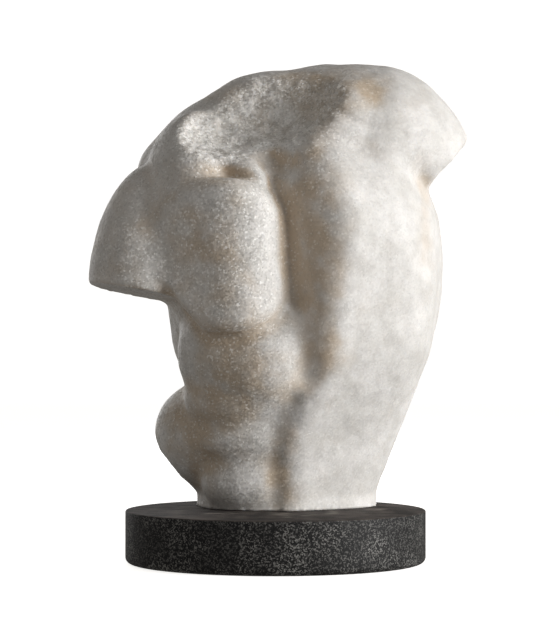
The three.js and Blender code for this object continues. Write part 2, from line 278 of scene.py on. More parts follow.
ARMPIT_SLICE = plane((-81, -60, 172), (0.766, -0.1, 0.643))
HIP = muscle((-58, 34, 58), (40, 50, 43))
HIP_BREAK = plane((-97.5, 0, 51), (0.78, 0, 0.626))
LOWERED_SHOULDER = muscle((-62, -3, 256), (42, 60, 62))
LOWERED_ARM = muscle((-105, -8, 186), (43, 50, 90), (0, 7, 0), 2.1)
ARM_CUT = plane((-105, 0, 171), (0.19, 0.06, 0.98))
RAISED_SHOULDER = muscle((93, 26, 299), (70, 49, 49), (0, 30, 4))
SHOULDER_CUT = plane((161, 10, 301), (-0.717, -0.1, 0.697))
NECK_SCOOP = muscle((0, -72, 344), (94, 76, 55), (0, -32, 0))
NECK_HOLLOW = muscle((-20, -118, 374), (102, 128, 100))

# Widths of the fillets that join these forms, and of the eased edges where they are cut or broken off
FILLET, RAISED_FILLET, BOWL_FILLET = 6, 14, 12
HIP_EDGE, ARMPIT_EDGE, SHOULDER_EDGE, ARM_EDGE, NECK_EDGE = 6, 4, 3, 4, 8
SOFTER_BEHIND = 16  # how much wider the fillets are on the plainer back
WORN_BREAK = 0.35  # the breaks of the limbs and the hip, where the rougher one of the neck is 1


def broken_off(body, form, cutter, width):
    """A form cut off by a plane, and how far the surface near each point is the worn break.

    That is WORN_BREAK where the plane and not the form makes the surface and what is left of the form stands
    out of the body, and it eases to 0 within a few millimetres.
    """
    left = cut(form, cutter, width)
    return left, WORN_BREAK * ease(-3, 1, -cutter - form) * ease(-2, 2, body - left)


def carved(p):
    """The whole marble as one field, and how far the surface near each point is a break, 0 to 1."""
    y = p[:, 1]
    soft = SOFTER_BEHIND * ease(35, 80, y)
    d = trunk(p)
    for form, width in ADDED:
        d = join(d, form(p), width)
    hip, hip_broken = broken_off(d, HIP(p), HIP_BREAK(p), HIP_EDGE)
    d = join(d, hip, FILLET + soft)
    d = join(d, cut(hanging_chest(p), ARMPIT_SLICE(p), ARMPIT_EDGE), FILLET)
    d = join(d, LOWERED_SHOULDER(p), FILLET + soft)
    raised, raised_broken = broken_off(d, RAISED_SHOULDER(p), SHOULDER_CUT(p), SHOULDER_EDGE)
    d = join(d, raised, RAISED_FILLET + soft)
    front = 1 - ease(-10, 30, y)
    for felt, depth in GROOVES:
        d = d + depth * felt(p) * front
    rear = ease(40, 70, y)
    for felt, depth in BACK_GROOVES:
        d = d + depth * felt(p) * rear
    arm, arm_broken = broken_off(d, LOWERED_ARM(p), ARM_CUT(p), ARM_EDGE)
    d = join(d, arm, FILLET + soft)
    scoop = join(NECK_SCOOP(p), NECK_HOLLOW(p), BOWL_FILLET)
    neck_broken = ease(-7, 4, -scoop - d)
    broken = np.maximum.reduce([hip_broken, raised_broken, arm_broken, neck_broken])
    return cut(d, scoop, NECK_EDGE), broken


def marble(p):
    """The carved field, ended in a flat bed at height 0."""
    return np.maximum(carved(p)[0], -p[:, 2])


# Grain: seeded noise that is the same on every run
LATTICE = 256
OCTAVE_SHIFT = 17.3  # keeps the corners of one octave's lattice away from the next one's
TO_UNIT = 1.6  # brings the noise to about -1 to 1
_seeded = np.random.default_rng(11)
SHUFFLED = _seeded.permutation(LATTICE)
LEANS = _seeded.normal(size=(LATTICE, 3)).astype(np.float32)
LEANS /= np.sqrt((LEANS**2).sum(1, keepdims=True))


def grain(p, size, octaves=1):
    """Gradient noise of about -1 to 1 with bumps of the given size, each octave half the size and the height.

    Every corner of a cubic lattice has a lean, and the noise is the eased blend of what the eight leans give.
    """
    total, height = np.zeros(len(p), np.float32), 1.0
    for octave in range(octaves):
        q = p / size * 2**octave + OCTAVE_SHIFT * octave
        cell = np.floor(q).astype(int)
        f = (q - cell).astype(np.float32)
        w = f * f * f * (f * (f * 6 - 15) + 10)
        for corner in np.ndindex(2, 2, 2):
            i, j, k = ((cell + corner) % LATTICE).T
            lean = LEANS[SHUFFLED[(SHUFFLED[(SHUFFLED[i] + j) % LATTICE] + k) % LATTICE]]
            share = np.prod(np.where(corner, w, 1 - w), 1)
            total += height * TO_UNIT * share * (lean * (f - np.array(corner, np.float32))).sum(1)
        height *= 0.5
    return total


# Laying a mesh on a field
BATCH = 40000
SETTLE_ROUNDS = 8
BARELY = 0.01  # the distance given to a corner that changes side
NEAR_CELLS = 2.1  # how many coarse cells from the surface a corner's cells are still worked out finely


def in_batches(function, p):
    """The function's values at all points, worked out a batch at a time to spare memory."""
    return np.concatenate([function(p[i : i + BATCH]) for i in range(0, len(p), BATCH)])


def settle(values):
    """Changes the side of the weakest corner of each grid square whose solid corners face each other.

    Without this, four faces would meet along one edge there.
    """
    for _ in range(SETTLE_ROUNDS):
        changed = False
        for u, v in ((0, 1), (1, 2), (2, 0)):
            step_u, step_v = np.eye(3, dtype=int)[u], np.eye(3, dtype=int)[v]
            size = np.array(values.shape) - step_u - step_v
            corners = (step_u * 0, step_u, step_u + step_v, step_v)
            views = [values[tuple(slice(o, o + s) for o, s in zip(c, size))] for c in corners]
            a, b, c, d = [view < 0 for view in views]
            where = np.argwhere((a == c) & (b == d) & (a != b))
            if not len(where):
                continue
            changed = True
            spots = np.stack([where + corner for corner in corners])
            found = values[spots[..., 0], spots[..., 1], spots[..., 2]]
            weakest = np.abs(found).argmin(0)
            chosen = spots[weakest, np.arange(len(where))]
            old = values[tuple(chosen.T)]
            values[tuple(chosen.T)] = np.where(old < 0, BARELY, -BARELY)
        if not changed:
            return


def lay_mesh(field, low, high, cell, coarse=4):
    """Points and four-cornered faces on the surface where the field is zero.

    The field is worked out on a coarse grid, and on a fine one only in the coarse cells near the surface.
    Each fine cell that the surface passes through gets one point, the mean of where its edges cross the
    surface, and each crossed edge gets a face through the points of the four cells round it.
    """
    low = np.array(low, np.float32)
    blocks = np.ceil((np.array(high) - low) / (cell * coarse)).astype(int)
    nodes = blocks * coarse + 1
    rough_points = np.stack(np.meshgrid(*[np.arange(b + 1) for b in blocks], indexing="ij"), -1)
    rough = in_batches(field, (rough_points.reshape(-1, 3) * cell * coarse + low).astype(np.float32))
    rough = rough.reshape(blocks + 1)
    reach = cell * coarse * NEAR_CELLS
    near = np.zeros(blocks, bool)
    for corner in np.ndindex(2, 2, 2):
        view = rough[tuple(slice(o, o + b) for o, b in zip(corner, blocks))]
        near |= np.abs(view) < reach
    index = [np.minimum(np.arange(n) // coarse, b - 1) for n, b in zip(nodes, blocks)]
    active = near[np.ix_(*index)]
    nearest = [np.minimum((np.arange(n) + coarse // 2) // coarse, b) for n, b in zip(nodes, blocks)]
    values = rough[np.ix_(*nearest)].copy()
    spots = np.argwhere(active)
    values[active] = in_batches(field, (spots * cell + low).astype(np.float32))
    settle(values)

    crossings, cells, outward = [], [], []
    for axis in range(3):
        step = np.eye(3, dtype=int)[axis]
        size = np.array(values.shape) - step
        here = values[tuple(slice(0, s) for s in size)]
        there = values[tuple(slice(o, None) for o in step)]
        at = np.argwhere((here < 0) != (there < 0))
        a, b = here[tuple(at.T)], there[tuple(at.T)]
        crossings.append(at + (a / (a - b))[:, None] * step)
        u, v = np.eye(3, dtype=int)[(axis + 1) % 3], np.eye(3, dtype=int)[(axis + 2) % 3]
        cells.append(np.stack([at, at - u, at - u - v, at - v], 1))
        outward.append(a < 0)
    crossings, cells, outward = (np.concatenate(x) for x in (crossings, cells, outward))
    numbers = (cells[..., 0] * nodes[1] + cells[..., 1]) * nodes[2] + cells[..., 2]
    _, faces = np.unique(numbers, return_inverse=True)
    faces = faces.reshape(numbers.shape)
    count = np.bincount(faces.ravel())
    totals = [np.bincount(faces.ravel(), np.repeat(crossings[:, k], 4)) for k in range(3)]
    points = np.stack([total / count for total in totals], 1)
    faces = np.where(outward[:, None], faces, faces[:, ::-1])
    return (points * cell + low).astype(np.float32), faces


def slope(field, p, step=0.4):
    """The direction in which the field rises fastest, from its values at four corners round each point."""
    corners = np.array([[1, -1, -1], [-1, -1, 1], [-1, 1, -1], [1, 1, 1]], np.float32)
    rise = sum(corner * in_batches(field, p + corner * step)[:, None] for corner in corners)
    return rise / np.maximum(np.sqrt((rise**2).sum(1, keepdims=True)), 1e-6)


def drawn_to(field, p, most, rounds=2):
    """The points moved against the slope by the field's value, at most so far in each round."""
    for _ in range(rounds):
        p = p - np.clip(in_batches(field, p), -most, most)[:, None] * slope(field, p)
    return p


# Small damage that shows on the front, in the lowered arm and in the neck: X, Z, radius and depth
PITS = (
    (-134.5, 187, 2.6, 2.0),
    (-132, 197, 2.0, 1.2),
    (-127, 205, 1.6, 1.0),
    (-4, 302, 6, 3.0),
    (20, 296, 5, 2.0),
)

# Sizes of the bumps: lumps and crumbs of the broken stone, waves of the worn carving, crumbs of the mortar
LUMP, CRUMB, WAVE, MORTAR_CRUMB = 13, 4.5, 30, 7
LIP_DEPTH, LIP_HEIGHT = 1.6, 2.6  # the bedding mortar that stands out at the foot of the marble


def weathered(p, normals, broken, sizes):
    """The points moved along their normals: rough where the stone is broken, and faintly uneven elsewhere.

    The pits go in by their depth times e to the power of minus the squared distance over the squared radius.
    At the foot a ragged lip of mortar stands out level, the most at the bed, and nothing else moves there.
    """
    move = broken * (sizes.break_depth / MM) * (0.75 * grain(p, LUMP, 3) + 0.35 * grain(p, CRUMB, 2))
    move = move + (1 - broken) * (sizes.wear_depth / MM) * grain(p, WAVE, 3)
    front = 1 - ease(-30, 10, p[:, 1])
    for x, z, radius, depth in PITS:
        near = ((p[:, 0] - x) ** 2 + (p[:, 2] - z) ** 2) / radius**2
        move = move - depth * np.exp(-near) * front
    move = move * ease(0, 4, p[:, 2])
    ragged = np.clip(0.3 + grain(p, MORTAR_CRUMB, 3), 0, 1)
    lip = LIP_DEPTH * (1 - ease(0, LIP_HEIGHT, p[:, 2])) * ragged
    outward = normals * np.array((1, 1, 0), np.float32)
    return p + move[:, None] * normals + lip[:, None] * outward


# Soil on the front, and on the shaded left side also painted warm shade: X, Z, half width, half height and
# strength
SOIL_AND_WARM_SHADE_PATCHES = (
    (29, 196, 20, 84, 0.85),
    (36, 140, 18, 30, 0.6),
    (-56, 207, 30, 48, 0.5),
    (-32, 100, 42, 30, 0.65),
    # these three lie on the shaded left side, on the hip, the lower chest and the lowered arm, and paint its
    # warm shade as well as soil
    (-64, 62, 34, 40, 0.55),
    (-56, 180, 40, 50, 0.35),
    (-112, 200, 34, 44, 0.25),
    (4, 32, 12, 42, 0.75),
    (8, 276, 14, 10, 1.0),
    (72, 332, 20, 14, 0.6),
    (32, 330, 34, 24, 0.85),
    (-6, 318, 34, 20, 0.45),
    (-30, 311, 10, 9, 0.4),
)


def soil_and_warm_shade(p):
    """How much soil and painted warm shade show on the front: the most that any patch gives.

    A patch gives its strength times e to the power of minus the squared distance from its middle, with X
    and Z divided by its half sizes.
    """
    most = np.zeros(len(p), np.float32)
    for x, z, half_width, half_height, strength in SOIL_AND_WARM_SHADE_PATCHES:
        off = ((p[:, 0] - x) / half_width) ** 2 + ((p[:, 2] - z) / half_height) ** 2
        most = np.maximum(most, strength * np.exp(-off))
    return most * (1 - ease(0, 40, p[:, 1]))


def hollowness(p, normals, reach):
    """0 on flat or rounded places and up to 1 in hollows.

    It is how much nearer than the reach the marble is, at a point that lies the reach off the surface.
    """
    ahead = in_batches(marble, (p + reach * normals).astype(np.float32))
    return np.clip((reach - ahead) / reach, 0, 1)


# Making objects


def mesh_object(name, points, faces, caps=()):
    """An object from points in metres, faces that all have the same number of corners, and caps with more."""
    corners = np.concatenate([faces.ravel(), *caps]).astype(np.int32)
    counts = [faces.shape[1]] * len(faces) + [len(cap) for cap in caps]
    starts = np.cumsum([0] + counts[:-1], dtype=np.int32)
    mesh = bpy.data.meshes.new(name)
    mesh.vertices.add(len(points))
    mesh.vertices.foreach_set("co", np.asarray(points, np.float32).ravel())
    mesh.loops.add(len(corners))
    mesh.loops.foreach_set("vertex_index", corners)
    mesh.polygons.add(len(starts))
    mesh.polygons.foreach_set("loop_start", starts)
    mesh.polygons.foreach_set("use_smooth", np.full(len(starts), True))
    mesh.update(calc_edges=True)
    obj = bpy.data.objects.new(name, mesh)
    bpy.context.scene.collection.objects.link(obj)
    return obj


def turned(across, up, sides):
    """A half section turned about Z: its points, and the four-cornered faces between them.

    Each point of the section goes round in a ring, at its radius times the cosine and the sine of each angle,
    and faces join each ring to the next. They point outwards if the section runs from bottom to top.
    """
    angle = np.arange(sides) * 2 * np.pi / sides
    x, y = across[:, None] * np.cos(angle), across[:, None] * np.sin(angle)
    points = np.stack([x, y, np.repeat(up[:, None], sides, 1)], -1)
    ring = np.arange(len(across) - 1)[:, None] * sides
    here, following = np.arange(sides), (np.arange(sides) + 1) % sides
    faces = np.stack([ring + here, ring + following, ring + sides + following, ring + sides + here], -1)
    return points.reshape(-1, 3), faces.reshape(-1, 4)


def set_attribute(obj, name, values):
    """A number for each point of the mesh, for its material to read."""
    attribute = obj.data.attributes.new(name, "FLOAT", "POINT")
    attribute.data.foreach_set("value", values.astype(np.float32))


# Materials

# What many nodes share: a ramp that is eased at both ends, and the sockets of a Mix node that mixes colours
EASED = {"interpolation_type": "SMOOTHSTEP"}
COLOURS = {"data_type": "RGBA"}
SHARE, UNDER, OVER = 0, 6, 7


def linear(hex_colour):
    """An sRGB colour such as b9b2a8 as linear red, green, blue and alpha."""
    channels = [int(hex_colour[i : i + 2], 16) / 255 for i in (0, 2, 4)]
    return tuple(c / 12.92 if c <= 0.04045 else ((c + 0.055) / 1.055) ** 2.4 for c in channels) + (1.0,)


def opaque(colour):
    """A setting's red, green and blue, with full alpha."""
    return (*colour, 1)


def add(tree, kind, inputs=None, **settings):
    """A node with its settings, and its inputs by name or number.

    An input is given a value, another node's output, or another node, whose first working output is taken.
    """
    node = tree.nodes.new(kind)
    for key, value in settings.items():
        setattr(node, key, value)
    for key, value in (inputs or {}).items():
        if isinstance(value, bpy.types.Node):
            value = next(socket for socket in value.outputs if socket.enabled)
        if isinstance(value, bpy.types.NodeSocket):
            tree.links.new(value, node.inputs[key])
        else:
            node.inputs[key].default_value = value
    return node


def new_material(name):
    """A material with an empty tree, and its place in object coordinates."""
    material = bpy.data.materials.new(name)
    material.use_nodes = True
    tree = material.node_tree
    tree.nodes.clear()
    return material, tree, add(tree, "ShaderNodeTexCoord").outputs["Object"]


def weathered_marble(look):
    """Coarse-grained white marble, carved, then worn by weather: mottled warm grey, with bright crystals.

    Brown soil colour darkens the hollows and lies in patches, and those on the shaded left side paint its
    warm shade. The breaks are greyer and sparkle more with painted glints. The mesh's attributes say where
    soil and painted shade lie, where the stone is broken, and how strongly the crystals' painted glints show.
    """
    material, tree, place = new_material("Weathered coarse-grained marble")
    soil_and_shade, broken, glint = (
        add(tree, "ShaderNodeAttribute", attribute_name=name).outputs["Fac"]
        for name in ("soil_and_shade", "broken", "glint")
    )
    # clouds: a patch's size in metres, and the part of the noise that is spread over 0 to 1
    clouds = []
    for size, low, high in ((0.035, 0.35, 0.65), (0.012, 0.3, 0.7), (0.009, 0.35, 0.65)):
        fog = add(tree, "ShaderNodeTexNoise", {"Vector": place, "Scale": 1 / size, "Detail": 3.0})
        ramp = {"Value": fog, "From Min": low, "From Max": high}
        clouds.append(add(tree, "ShaderNodeMapRange", ramp, **EASED))
    mottle, faint, crumbly = clouds
    pale, dark = opaque(look.marble_white), opaque(look.marble_grey)
    colour = add(tree, "ShaderNodeMix", {SHARE: mottle, UNDER: dark, OVER: pale}, **COLOURS)
    pale, dark = linear("f8f5f0"), linear("c9c3ba")
    fresh = add(tree, "ShaderNodeMix", {SHARE: crumbly, UNDER: dark, OVER: pale}, **COLOURS)

    # each crystal is one cell with a colour by chance: its red decides if the crystal flashes, more often on
    # a break, and its green if the crystal is dull. Flashing crystals are painted glints, whiter flecks in
    # the colour, and dull ones are darker specks that also paint the shade of facets turned from the light
    cells = {"Vector": place, "Scale": 1 / look.crystal_size}
    crystal = add(tree, "ShaderNodeTexVoronoi", cells).outputs["Color"]
    flashing, dulling, _ = add(tree, "ShaderNodeSeparateColor", {0: crystal}).outputs
    rare = add(tree, "ShaderNodeMapRange", {"Value": broken, "To Min": 0.78, "To Max": 0.66}, **EASED)
    flash = add(tree, "ShaderNodeMath", {0: flashing, 1: rare}, operation="SUBTRACT")
    flash = add(tree, "ShaderNodeMapRange", {"Value": flash, "From Max": 0.26}, **EASED)
    painted_glint_flecks = add(tree, "ShaderNodeMath", {0: flash, 1: glint}, operation="MULTIPLY", use_clamp=True)
    ramp = {"Value": dulling, "From Max": 0.4, "To Min": 0.22, "To Max": 0.0}
    dull_and_shaded_specks = add(tree, "ShaderNodeMapRange", ramp, **EASED)
    dull_and_shaded_specks = add(tree, "ShaderNodeMath", {0: dull_and_shaded_specks, 1: glint}, operation="MULTIPLY", use_clamp=True)

    # layers over the stone: what each follows, from where to where, the most of it that shows, its colour
    height = add(tree, "ShaderNodeSeparateXYZ", {0: place}).outputs["Z"]
    bed = TORSO_BOX[0].z
    layers = (
        (faint, 0, 1, 0.16, linear("8b857c")),
        # soil colour in the hollows and patches, which on the shaded left side is also painted warm shade
        (soil_and_shade, 0, 0.8, 0.9, opaque(look.soil)),
        (broken, 0, 1, 0.55, fresh),
        (height, bed + 0.003, bed + 0.001, 0.6, linear("f3f0ea")),
        # painted glints: whiter flecks where crystals would catch the light, most where the glint attribute
        # is strong
        (painted_glint_flecks, 0, 1, 0.5, linear("fdfbf7")),
    )
    for followed, low, high, most, layer in layers:
        ramp = {"Value": followed, "From Min": low, "From Max": high, "To Max": most}
        share = add(tree, "ShaderNodeMapRange", ramp, **EASED)
        colour = add(tree, "ShaderNodeMix", {SHARE: share, UNDER: colour, OVER: layer}, **COLOURS)
    # painted shade: dull crystals darkened, the more where the glint attribute is strong
    colour = add(tree, "ShaderNodeMix", {SHARE: dull_and_shaded_specks, UNDER: colour, OVER: linear("77726b")}, **COLOURS)

    # the breaks are rough in lumps of about 4 mm, and each crystal's face leans its own way
    fog = add(tree, "ShaderNodeTexNoise", {"Vector": place, "Scale": 1 / 0.004, "Detail": 3.0})
    lumps = add(tree, "ShaderNodeMath", {0: fog, 1: broken}, operation="MULTIPLY")
    lumpy = add(tree, "ShaderNodeBump", {"Strength": 0.7, "Distance": 0.0013, "Height": lumps})
    lean = add(tree, "ShaderNodeVectorMath", {0: crystal, 1: (0.5, 0.5, 0.5)}, operation="SUBTRACT")
    ramp = {"Value": glint, "From Max": 1.5, "To Min": 0.1, "To Max": 0.4}
    swing = add(tree, "ShaderNodeMapRange", ramp, **EASED)
    lean = add(tree, "ShaderNodeVectorMath", {0: lean, "Scale": swing}, operation="SCALE")
    facets = add(tree, "ShaderNodeVectorMath", {0: lumpy, 1: lean}, operation="ADD")
    facets = add(tree, "ShaderNodeVectorMath", {0: facets}, operation="NORMALIZE")

    # light goes about 3 mm into marble, red the furthest
    surface = {
        "Base Color": colour,
        "Roughness": 0.6,
        "IOR": 1.49,
        "Subsurface Weight": 0.06,
        "Subsurface Radius": (1.0, 0.8, 0.6),
        "Subsurface Scale": 0.003,
        "Normal": facets,
    }
    shader = add(tree, "ShaderNodeBsdfPrincipled", surface)
    add(tree, "ShaderNodeOutputMaterial", {"Surface": shader})
    return material


def honed_dark_stone(look):
    """Near-black fine-grained stone, turned and honed: speckled with grey, and lighter brown on its top face,
    where brown dust lies and a painted sheen stands in for the pale surroundings that the level face
    reflects.

    Crumbs and smears of the pale mortar lie around the foot of the marble.
    """
    material, tree, place = new_material("Honed speckled dark stone")
    # clouds: a patch's size in metres, the noise's octaves, and the part of it that is spread over 0 to 1
    clouds = []
    patches = ((0.03, 3.0, 0.35, 0.7), (0.018, 4.0, 0.3, 0.75), (0.025, 9.0, 0.45, 0.8))
    for size, octaves, low, high in patches:
        fog = add(tree, "ShaderNodeTexNoise", {"Vector": place, "Scale": 1 / size, "Detail": octaves})
        ramp = {"Value": fog, "From Min": low, "From Max": high}
        clouds.append(add(tree, "ShaderNodeMapRange", ramp, **EASED))
    cloud, dust_and_sheen, smear = clouds
    share = add(tree, "ShaderNodeMapRange", {"Value": cloud, "To Min": 0.5, "To Max": 0}, **EASED)
    layers = {SHARE: share, UNDER: opaque(look.stone_dark), OVER: linear("161515")}
    colour = add(tree, "ShaderNodeMix", layers, **COLOURS)

    # specks 0.9 mm wide, as coarse as they need to be to show: half of the cells are grey by chance
    specks = add(tree, "ShaderNodeTexVoronoi", {"Vector": place, "Scale": 1 / 0.0009}).outputs["Color"]
    tone, pit, _ = add(tree, "ShaderNodeSeparateColor", {0: specks}).outputs
    share = add(tree, "ShaderNodeMapRange", {"Value": tone, "From Min": 0.5, "To Max": 0.95}, **EASED)
    crowd = add(tree, "ShaderNodeMapRange", {"Value": cloud, "To Min": 0.4, "To Max": 0.95}, **EASED)
    share = add(tree, "ShaderNodeMath", {0: share, 1: crowd}, operation="MULTIPLY")
    layers = {SHARE: share, UNDER: colour, OVER: opaque(look.stone_speck)}
    colour = add(tree, "ShaderNodeMix", layers, **COLOURS)

    # the top face: brown dust, lightened as a painted reflection of the pale surroundings, and mortar that
    # thins out from the marble's foot to the rim
    layers = {SHARE: dust_and_sheen, UNDER: linear("2e2a28"), OVER: linear("5d5550")}
    brown = add(tree, "ShaderNodeMix", layers, **COLOURS)
    outward = add(tree, "ShaderNodeVectorMath", {0: place, 1: (1, 1, 0)}, operation="MULTIPLY")
    away = add(tree, "ShaderNodeVectorMath", {0: outward}, operation="LENGTH")
    inner = add(tree, "ShaderNodeMapRange", {"Value": away, "From Min": 0.118, "From Max": 0.075}, **EASED)
    smear = add(tree, "ShaderNodeMath", {0: smear, 1: inner}, operation="MULTIPLY")
    share = add(tree, "ShaderNodeMapRange", {"Value": smear, "To Max": 0.7}, **EASED)
    brown = add(tree, "ShaderNodeMix", {SHARE: share, UNDER: brown, OVER: linear("a39b92")}, **COLOURS)
    height = add(tree, "ShaderNodeSeparateXYZ", {0: place}).outputs["Z"]
    ramp = {"Value": height, "From Min": PLINTH_BOX[1].z - 0.0012, "From Max": PLINTH_BOX[1].z - 0.0003}
    top = add(tree, "ShaderNodeMapRange", ramp, **EASED)
    share = add(tree, "ShaderNodeMapRange", {"Value": top, "To Max": 0.85}, **EASED)
    colour = add(tree, "ShaderNodeMix", {SHARE: share, UNDER: colour, OVER: brown}, **COLOURS)

    surface = {
        "Base Color": colour,
        "Roughness": add(tree, "ShaderNodeMapRange", {"Value": top, "To Min": 0.62, "To Max": 0.8}, **EASED),
        "IOR": 1.5,
        "Specular IOR Level": 0.25,
        "Normal": add(tree, "ShaderNodeBump", {"Strength": 0.6, "Distance": 0.0004, "Height": pit}),
    }
    shader = add(tree, "ShaderNodeBsdfPrincipled", surface)
    add(tree, "ShaderNodeOutputMaterial", {"Surface": shader})
    return material


def pale_paper(look):
    """Seamless matt backdrop paper under even light: an even pale colour with a faint fibre in it."""
    material, tree, place = new_material("Matt backdrop paper")
    fibre = add(tree, "ShaderNodeTexNoise", {"Vector": place, "Scale": 1 / 0.004, "Detail": 2.0})
    share = add(tree, "ShaderNodeMapRange", {"Value": fibre, "From Min": 0.3, "From Max": 0.7}, **EASED)
    layers = {SHARE: share, UNDER: linear("f3f2f0"), OVER: linear("f7f6f4")}
    colour = add(tree, "ShaderNodeMix", layers, **COLOURS)
    surface = {
        "Base Color": colour,
        "Roughness": 0.9,
        "Emission Color": colour,
        "Emission Strength": look.paper_glow,
    }
    shader = add(tree, "ShaderNodeBsdfPrincipled", surface)
    add(tree, "ShaderNodeOutputMaterial", {"Surface": shader})
    return material


# The add-on's settings


class TorsoSettings(bpy.types.PropertyGroup):
    """Sizes and colours of the marble."""

    mesh_cell: bpy.props.FloatProperty(
        name="Mesh cell", description="Side of the fine mesh's faces on the marble",
        default=0.0021, min=0.001, unit="LENGTH", subtype="DISTANCE",
    )
    break_depth: bpy.props.FloatProperty(
        name="Break roughness", description="How far the broken faces go up and down",
        default=0.0022, min=0, unit="LENGTH", subtype="DISTANCE",
    )
    wear_depth: bpy.props.FloatProperty(
        name="Wear", description="How far the worn carving goes up and down",
        default=0.0006, min=0, unit="LENGTH", subtype="DISTANCE",
    )
    crystal_size: bpy.props.FloatProperty(
        name="Crystal size", description="Width of one crystal of the marble",
        default=0.0014, min=0.0005, unit="LENGTH", subtype="DISTANCE",
    )
    marble_white: bpy.props.FloatVectorProperty(
        name="Marble, light", description="Colour of the marble where it is cleanest",
        default=linear("e7e4e0")[:3], min=0, max=1, subtype="COLOR",
    )
    marble_grey: bpy.props.FloatVectorProperty(
        name="Marble, grey", description="Colour of the marble's grey clouds",
        default=linear("dbd8d3")[:3], min=0, max=1, subtype="COLOR",
    )
    # the soil colour also paints the warm shade of the left side where its patches lie there
    soil: bpy.props.FloatVectorProperty(
        name="Soil", description="Colour of the soil left in the hollows",
        default=linear("c9b69e")[:3], min=0, max=1, subtype="COLOR",
    )


class PlinthSettings(bpy.types.PropertyGroup):
    """Sizes and colours of the plinth."""

    foot_radius: bpy.props.FloatProperty(
        name="Foot rounding", description="Radius of the plinth's lower edge",
        default=0.005, min=0.001, unit="LENGTH", subtype="DISTANCE",
    )
    rim_radius: bpy.props.FloatProperty(
        name="Rim rounding", description="Radius of the plinth's upper edge",
        default=0.0012, min=0.0002, unit="LENGTH", subtype="DISTANCE",
    )
    stone_dark: bpy.props.FloatVectorProperty(
        name="Dark stone", description="Ground colour of the plinth",
        default=linear("121212")[:3], min=0, max=1, subtype="COLOR",
    )
    stone_speck: bpy.props.FloatVectorProperty(
        name="Specks", description="Colour of the specks in the plinth's stone",
        default=linear("8d8b87")[:3], min=0, max=1, subtype="COLOR",
    )


class StageSettings(bpy.types.PropertyGroup):
    """Light, backdrop and camera distance."""

    key_power: bpy.props.FloatProperty(
        name="Key light", description="Power of the large soft light on the right",
        default=66, min=0, unit="POWER",
    )
    fill_power: bpy.props.FloatProperty(
        name="Fill light", description="Power of the weak light on the left",
        default=3, min=0, unit="POWER",
    )
    back_power: bpy.props.FloatProperty(
        name="Back light", description="Power of the soft light behind, which shows the back's carving",
        default=16, min=0, unit="POWER",
    )
    ambient: bpy.props.FloatProperty(
        name="Room light", description="Strength of the even light from all round",
        default=0.19, min=0,
    )
    paper_glow: bpy.props.FloatProperty(
        name="Paper glow", description="Light of its own that keeps the backdrop pale",
        default=0.91, min=0,
    )
    camera_distance: bpy.props.FloatProperty(
        name="Camera distance", description="From the camera to the object's middle",
        default=2.064, min=0.5, unit="LENGTH", subtype="DISTANCE",
    )


# Operators

# The corners of the marble's grid in millimetres, some way outside the carving, and how far it goes below the
# bed, in cells
GRID_LOW, GRID_HIGH = (-168, -108), (176, 124, 376)
CELLS_BELOW_BED = 5.5

# How far off the surface a hollow is felt, in millimetres, and how much each of the two darkens it with the
# soil colour
HOLLOW_REACHES = (8, 20)
HOLLOW_DARKENING = 0.6


class TORSO_OT_marble(bpy.types.Operator):
    """Lays the fine mesh of the marble on its field, and roughens its breaks"""

    bl_idname = "torso.marble"
    bl_label = "Build the marble"

    def execute(self, context):
        sizes = context.scene.torso_marble
        cell = sizes.mesh_cell / MM
        points, faces = lay_mesh(marble, (*GRID_LOW, -CELLS_BELOW_BED * cell), GRID_HIGH, cell)
        points = drawn_to(marble, points, cell)
        normals = slope(marble, points)
        broken = in_batches(lambda p: carved(p)[1], points)
        hollow = sum(HOLLOW_DARKENING * hollowness(points, normals, reach) for reach in HOLLOW_REACHES)
        points = weathered(points, normals, broken, sizes)
        points[:, 2] = np.maximum(points[:, 2], 0)
        # the soil colour darkens the hollows and lies in the patches, of which those on the shaded left side
        # paint its warm shade, and clouds make both of them uneven
        cloud = grain(points, 22, 4)
        soiled_and_shaded = np.clip(hollow + soil_and_warm_shade(points) * (0.9 + 0.5 * cloud) + 0.15 * cloud, 0, 1)
        # painted glints: the glint attribute is weakest on the right side, which faces the key light, and
        # strongest on the shaded side and on breaks; it sets how strongly the painted flecks and dark specks
        # show
        key_lit_side = ease(-30, 70, points[:, 0] - 0.25 * (points[:, 2] - 200))
        place = points * MM + np.array((0, 0, TORSO_BOX[0].z), np.float32)
        obj = mesh_object("marble_torso", place, faces)
        set_attribute(obj, "broken", broken)
        set_attribute(obj, "soil_and_shade", soiled_and_shaded)
        set_attribute(obj, "glint", np.clip(1 - 0.68 * key_lit_side + broken, 0, 1.5))
        obj.data.materials.append(weathered_marble(sizes))
        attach(obj, "root")
        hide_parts("torso")
        return {"FINISHED"}


# How finely the plinth is divided: round it, along its two rounded edges, and in rings on its flat faces,
# which start and end a little away from the middle and from the edges
PLINTH_SIDES = 192
FOOT_STEPS, RIM_STEPS, FLAT_RINGS = 9, 5, 12
FLAT_START, FLAT_END = 0.004, 0.002


